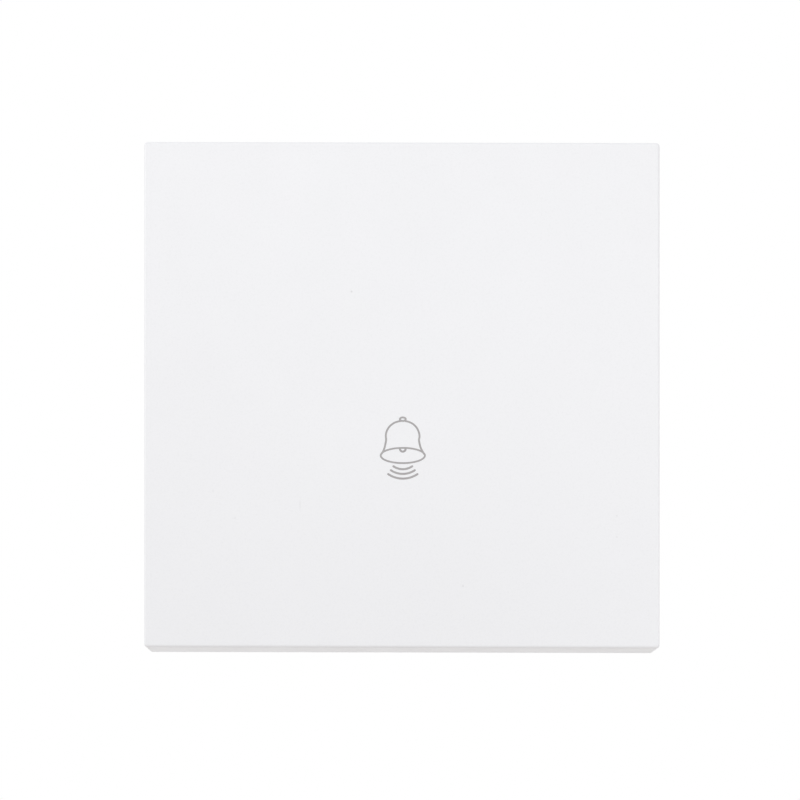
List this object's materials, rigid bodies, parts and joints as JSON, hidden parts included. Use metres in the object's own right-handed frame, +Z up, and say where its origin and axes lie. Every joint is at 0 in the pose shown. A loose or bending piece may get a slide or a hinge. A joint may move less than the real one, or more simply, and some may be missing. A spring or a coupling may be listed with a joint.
{
  "type": "doorbell push button",
  "caption": "Square wall push button for a doorbell: a full-face white plate hinged at its top, with a printed bell sign, that presses a small switch module.",
  "frame": {"origin": "middle of the square in the plane of the wall that the frame is screwed to", "axes": "+Y into the wall, +X to the right as seen from the room, +Z up"},
  "size_m": [0.086, 0.033, 0.086],
  "materials": {
    "plate_white": "satin white",
    "carrier_white": "matt white",
    "frame_white": "matt white",
    "housing_grey": "matt pale grey",
    "cover_grey": "matt pale grey",
    "plunger_nylon": "natural nylon",
    "zinc_steel": "galvanised",
    "screw_steel": "zinc plated",
    "spring_steel": "drawn wire",
    "brass": "satin",
    "silver": "satin silver",
    "pad_rubber": "matt",
    "sign_ink": "matt print"
  },
  "bodies": {
    "base": {"base_frame": "frame_white", "yoke": "zinc_steel", "module_housing": "housing_grey", "module_cover": "cover_grey", "return_spring": "spring_steel", "stop_pad_left": "pad_rubber", "stop_pad_right": "pad_rubber", "fixed_contact_left": "silver", "fixed_contact_right": "silver", "contact_strip_left": "brass", "contact_strip_right": "brass", "terminal_block_left": "brass", "terminal_block_right": "brass", "terminal_screw_left": "screw_steel", "terminal_screw_right": "screw_steel"},
    "plate": {"push_plate": "plate_white", "key_carrier": "carrier_white"},
    "plunger": {"plunger": "plunger_nylon", "contact_bridge": "brass", "contact_spring": "spring_steel", "moving_contact_left": "silver", "moving_contact_right": "silver"}
  },
  "joints": [
    {"name": "plate_press", "type": "hinge", "parent": "base", "child": "plate", "pos_m": [0, -0.0069, 0.0329], "axis": [1, 0, 0], "range_deg": [0, 1.2], "stiffness_Nm_per_rad": 3, "springref_deg": -1.15},
    {"name": "plunger_slide", "type": "slide", "parent": "base", "child": "plunger", "axis": [0, 1, 0], "range_m": [0, 0.000858], "deforming": ["return_spring"]}
  ],
  "couplings": [
    {"joint": "plunger_slide", "follows": "plate_press", "m_per_rad": 0.0409}
  ]
}
